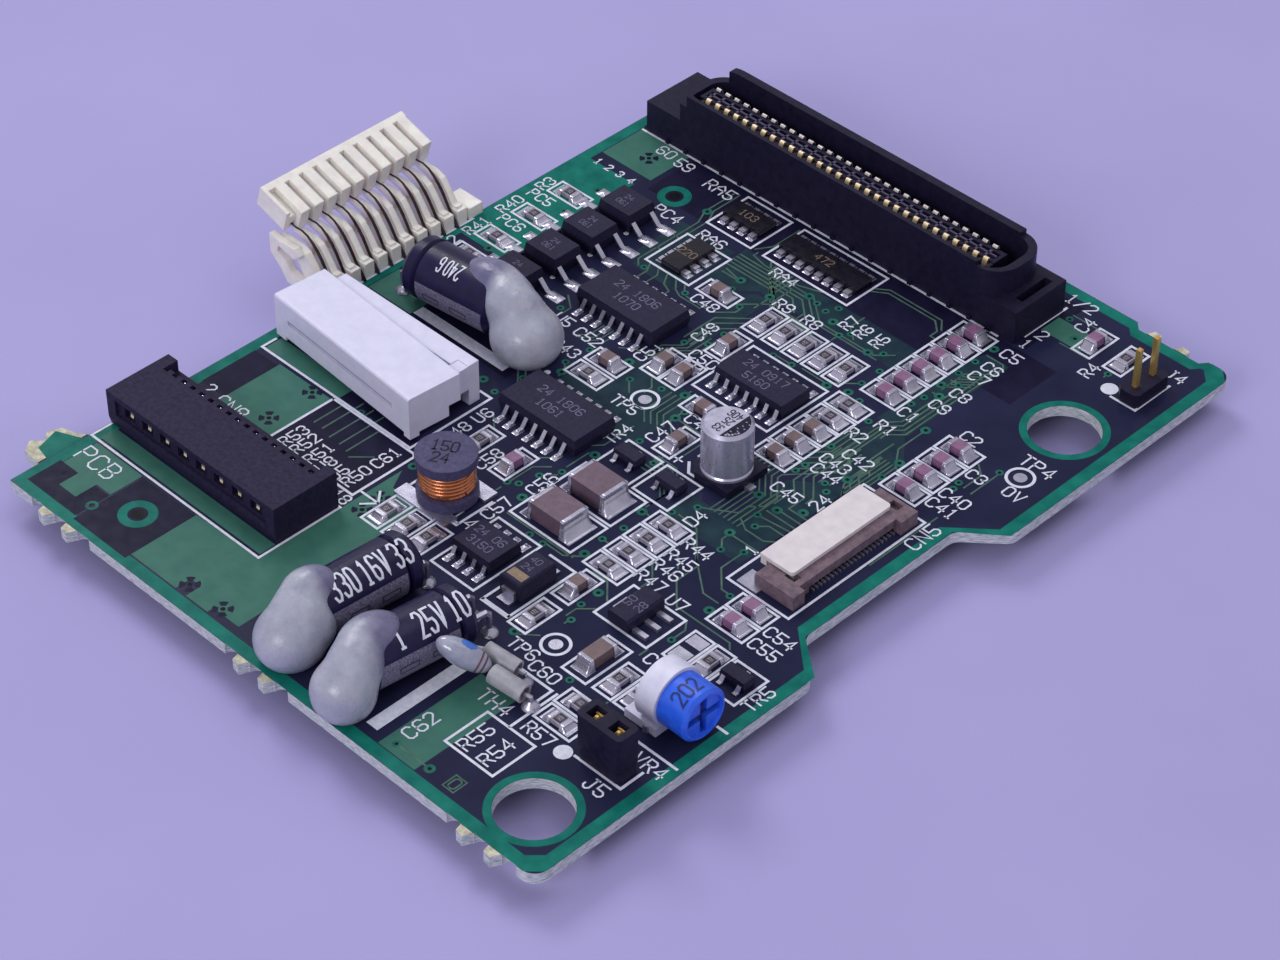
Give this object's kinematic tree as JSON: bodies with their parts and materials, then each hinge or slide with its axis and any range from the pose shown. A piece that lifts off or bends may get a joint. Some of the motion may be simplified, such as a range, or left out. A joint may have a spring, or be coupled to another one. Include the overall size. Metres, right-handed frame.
{
  "type": "populated circuit board",
  "caption": "Small control board with surface-mounted parts, edge, flat cable and board connectors, a jumper, a trimmer, glued capacitors and two mounting holes.",
  "frame": {"origin": "centre of the front mounting hole on the component face of the laminate", "axes": "+X from the edge with the sockets towards the mounting-hole edge, +Y along the long edge towards the board connector, +Z out of the component face"},
  "size_m": [0.0786, 0.092, 0.012],
  "materials": {
    "laminate": "glossy solder mask over glass laminate",
    "black_moulding": "fine moulded matt",
    "cream_moulding": "slightly waxy moulding",
    "white_moulding": "moulded satin",
    "brown_moulding": "moulded matt",
    "gold_contact": "gold flash plating",
    "tin_contact": "tin plating",
    "aged_lead": "tarnished tin",
    "can_sleeve": "shrink sleeve",
    "hot_glue": "clouded hot-melt glue",
    "can_aluminium": "drawn and lightly brushed",
    "ferrite": "ground ferrite",
    "enamelled_wire": "enamelled copper",
    "bead_coating": "grey resin dip",
    "clear_sleeve": "milky insulating tube",
    "package_moulding": "moulded epoxy",
    "chip_capacitor_ceramic": "fired dielectric",
    "chip_resistor_film": "overglaze",
    "trimmer_ceramic": "glossy moulding",
    "trimmer_blue": "glossy moulding"
  },
  "bodies": {
    "board": {"laminate": "laminate", "board_connector_housing": "black_moulding", "board_connector_front_contacts": "gold_contact", "board_connector_rear_contacts": "tin_contact", "signal_socket_housing": "black_moulding", "signal_socket_contacts": "tin_contact", "edge_connector_housing": "cream_moulding", "edge_connector_base": "cream_moulding", "edge_connector_leads": "aged_lead", "power_connector_housing": "white_moulding", "power_connector_pins": "tin_contact", "flat_cable_socket_body": "brown_moulding", "flat_cable_contacts": "tin_contact", "flat_cable_anchor_tabs": "tin_contact", "pin_header_base": "black_moulding", "pin_header_pins": "gold_contact", "jumper_header_base": "black_moulding", "jumper_header_pins": "gold_contact", "trimmer_case": "trimmer_ceramic", "trimmer_terminals": "tin_contact", "front_electrolytic_can": "can_sleeve", "middle_electrolytic_can": "can_sleeve", "rear_electrolytic_can": "can_sleeve", "electrolytic_leads": "tin_contact", "front_glue": "hot_glue", "middle_glue": "hot_glue", "rear_glue": "hot_glue", "surface_capacitor_can": "can_aluminium", "surface_capacitor_base": "black_moulding", "surface_capacitor_terminals": "tin_contact", "inductor_core": "ferrite", "inductor_winding": "enamelled_wire", "inductor_terminals": "tin_contact", "thermistor_bead": "bead_coating", "thermistor_sleeves": "clear_sleeve", "thermistor_leads": "tin_contact", "rear_logic_chip": "package_moulding", "rear_logic_chip_leads": "tin_contact", "middle_logic_chip": "package_moulding", "middle_logic_chip_leads": "tin_contact", "amplifier_chip": "package_moulding", "amplifier_chip_leads": "tin_contact", "converter_chip": "package_moulding", "converter_chip_leads": "tin_contact", "regulator_body": "package_moulding", "rectifier_body": "package_moulding", "transistor_bodies": "package_moulding", "small_package_leads": "tin_contact", "optocoupler_bodies": "package_moulding", "optocoupler_leads": "tin_contact", "chip_resistors": "chip_resistor_film", "chip_capacitors": "chip_capacitor_ceramic", "chip_end_caps": "tin_contact", "resistor_networks": "package_moulding", "resistor_network_ends": "tin_contact"},
    "shunt": {"jumper_shunt_shell": "black_moulding", "jumper_shunt_clip": "gold_contact"},
    "cable_lock": {"flat_cable_lock": "cream_moulding"},
    "slider": {"power_connector_slider": "white_moulding"},
    "adjuster": {"trimmer_rotor": "trimmer_blue"}
  },
  "joints": [
    {"name": "shunt_pull", "type": "slide", "parent": "board", "child": "shunt", "axis": [0, 0, 1], "range_m": [0, 0.006]},
    {"name": "cable_lock_slide", "type": "slide", "parent": "board", "child": "cable_lock", "axis": [-1, 0, 0], "range_m": [0, 0.0012]},
    {"name": "connector_slider_slide", "type": "slide", "parent": "board", "child": "slider", "axis": [-0.0767, -0.9971, 0], "range_m": [0, 0.0012]},
    {"name": "trimmer_turn", "type": "hinge", "parent": "board", "child": "adjuster", "pos_m": [0.0012, 0.0155, 0.00295], "axis": [1, 0, 0], "range_deg": [-120, 120]}
  ]
}
